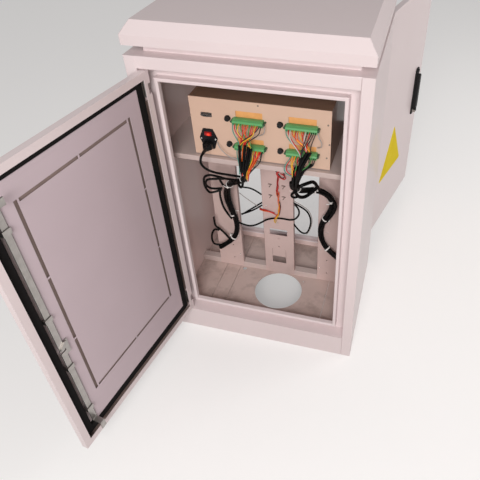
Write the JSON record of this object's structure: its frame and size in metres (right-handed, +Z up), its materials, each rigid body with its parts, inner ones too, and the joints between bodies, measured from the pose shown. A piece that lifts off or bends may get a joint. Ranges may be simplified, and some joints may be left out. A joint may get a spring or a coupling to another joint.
{
  "type": "traffic signal controller cabinet",
  "caption": "Off-white sheet-steel roadside cabinet with front and rear doors, overhanging roof and a wired controller unit on a shelf.",
  "frame": {"origin": "centre of the four anchor bolt holes at ground level, which is the middle of the cabinet body's footprint", "axes": "+X to the right of somebody who faces the wiring side, +Y from the wiring side to the back, +Z up"},
  "size_m": [0.761, 1.4675, 1.067],
  "materials": {
    "painted_steel": "satin powder coat, warm off-white",
    "zinc_steel": "zinc plated",
    "foam_gasket": "matt black foam rubber",
    "black_handle": "textured black",
    "brown_paint": "semi-gloss dark brown",
    "beige_paint": "satin beige",
    "socket_steel": "nickel plated",
    "black_plastic": "moulded black",
    "red_rocker": "translucent red, lit from inside",
    "terminal_green": "moulded green",
    "board": "bare amber laminate",
    "cable_black": "black cable sheath",
    "tie_white": "natural nylon"
  },
  "bodies": {
    "cabinet": {"side_panel_left": "painted_steel", "side_panel_right": "painted_steel", "top_panel": "painted_steel", "plinth_frame": "painted_steel", "gutter_frame_front": "painted_steel", "gutter_frame_rear": "painted_steel", "floor_panel": "painted_steel", "floor_side_plates": "painted_steel", "cross_sill": "painted_steel", "shelf": "painted_steel", "mounting_plate_left": "painted_steel", "mounting_plate_centre": "painted_steel", "mounting_plate_right": "painted_steel", "roof_neck": "painted_steel", "roof_hood": "painted_steel", "hinge_brackets_front": "zinc_steel", "hinge_brackets_rear": "zinc_steel", "unit_case": "brown_paint", "unit_lid": "brown_paint", "wiring_panel": "beige_paint", "unit_front_panel": "beige_paint", "serial_socket": "socket_steel", "mains_inlet": "black_plastic", "mains_plug": "black_plastic", "fuse_holders": "black_plastic", "terminal_blocks_left": "terminal_green", "terminal_blocks_right": "terminal_green", "circuit_boards": "board", "loom_left": "cable_black", "loom_right": "cable_black", "power_cord": "cable_black", "cross_cable": "cable_black", "cable_ties": "tie_white"},
    "front_door": {"front_door_skin": "painted_steel", "front_door_liner": "painted_steel", "front_door_gasket": "foam_gasket", "front_hinge_leaves": "zinc_steel", "front_handle_housing": "black_handle", "front_rod_guides": "zinc_steel"},
    "front_lock": {"front_lock_spindle": "zinc_steel", "front_lock_cam": "zinc_steel"},
    "front_lever": {"front_handle_lever": "black_handle"},
    "front_upper_rod": {"front_rod_upper": "zinc_steel"},
    "front_lower_rod": {"front_rod_lower": "zinc_steel"},
    "rear_door": {"rear_door_skin": "painted_steel", "rear_door_liner": "painted_steel", "rear_door_gasket": "foam_gasket", "rear_hinge_leaves": "zinc_steel", "rear_handle_housing": "black_handle", "rear_rod_guides": "zinc_steel"},
    "rear_lock": {"rear_lock_spindle": "zinc_steel", "rear_lock_cam": "zinc_steel"},
    "rear_lever": {"rear_handle_lever": "black_handle"},
    "rear_upper_rod": {"rear_rod_upper": "zinc_steel"},
    "rear_lower_rod": {"rear_rod_lower": "zinc_steel"},
    "rocker": {"rocker_switch": "red_rocker"},
    "fuse_1": {"fuse_cap_1": "black_plastic"},
    "fuse_2": {"fuse_cap_2": "black_plastic"},
    "fuse_3": {"fuse_cap_3": "black_plastic"},
    "fuse_4": {"fuse_cap_4": "black_plastic"}
  },
  "joints": [
    {"name": "front_door_hinge", "type": "hinge", "parent": "cabinet", "child": "front_door", "pos_m": [-0.2607, -0.215, 0.52065], "axis": [0, 0, 1], "range_deg": [-8.9, 99.1]},
    {"name": "front_lock_turn", "type": "hinge", "parent": "front_door", "child": "front_lock", "pos_m": [-0.34522, -0.6731, 0.462], "axis": [-0.9874, 0.1582, 0], "range_deg": [0, 90]},
    {"name": "front_lever_lift", "type": "hinge", "parent": "front_lock", "child": "front_lever", "pos_m": [-0.35341, -0.67179, 0.462], "axis": [-0.1582, -0.9874, 0], "range_deg": [0, 70]},
    {"name": "front_upper_rod_slide", "type": "slide", "parent": "front_door", "child": "front_upper_rod", "axis": [0, 0, 1], "range_m": [0, 0.014]},
    {"name": "front_lower_rod_slide", "type": "slide", "parent": "front_door", "child": "front_lower_rod", "axis": [0, 0, -1], "range_m": [0, 0.014]},
    {"name": "rear_door_hinge", "type": "hinge", "parent": "cabinet", "child": "rear_door", "pos_m": [0.2607, 0.215, 0.52065], "axis": [0, 0, 1], "range_deg": [-3.7, 104.3]},
    {"name": "rear_lock_turn", "type": "hinge", "parent": "rear_door", "child": "rear_lock", "pos_m": [0.38639, 0.66355, 0.462], "axis": [0.969, -0.247, 0], "range_deg": [0, 90]},
    {"name": "rear_lever_lift", "type": "hinge", "parent": "rear_lock", "child": "rear_lever", "pos_m": [0.39443, 0.6615, 0.462], "axis": [0.247, 0.969, 0], "range_deg": [0, 70]},
    {"name": "rear_upper_rod_slide", "type": "slide", "parent": "rear_door", "child": "rear_upper_rod", "axis": [0, 0, 1], "range_m": [0, 0.014]},
    {"name": "rear_lower_rod_slide", "type": "slide", "parent": "rear_door", "child": "rear_lower_rod", "axis": [0, 0, -1], "range_m": [0, 0.014]},
    {"name": "rocker_tilt", "type": "hinge", "parent": "cabinet", "child": "rocker", "pos_m": [-0.146, -0.1322, 0.742], "axis": [1, 0, 0], "range_deg": [0, 20]},
    {"name": "fuse_cap_1_turn", "type": "hinge", "parent": "cabinet", "child": "fuse_1", "pos_m": [-0.085, -0.1326, 0.798], "axis": [0, -1, 0], "range_deg": [0, 60]},
    {"name": "fuse_cap_2_turn", "type": "hinge", "parent": "cabinet", "child": "fuse_2", "pos_m": [-0.086, -0.1326, 0.719], "axis": [0, -1, 0], "range_deg": [0, 60]},
    {"name": "fuse_cap_3_turn", "type": "hinge", "parent": "cabinet", "child": "fuse_3", "pos_m": [0.059, -0.1326, 0.797], "axis": [0, -1, 0], "range_deg": [0, 60]},
    {"name": "fuse_cap_4_turn", "type": "hinge", "parent": "cabinet", "child": "fuse_4", "pos_m": [0.058, -0.1326, 0.717], "axis": [0, -1, 0], "range_deg": [0, 60]}
  ],
  "couplings": [
    {"joint": "front_upper_rod_slide", "follows": "front_lock_turn", "m_per_rad": 0.0089127},
    {"joint": "front_lower_rod_slide", "follows": "front_lock_turn", "m_per_rad": 0.0089127},
    {"joint": "rear_upper_rod_slide", "follows": "rear_lock_turn", "m_per_rad": 0.0089127},
    {"joint": "rear_lower_rod_slide", "follows": "rear_lock_turn", "m_per_rad": 0.0089127}
  ]
}
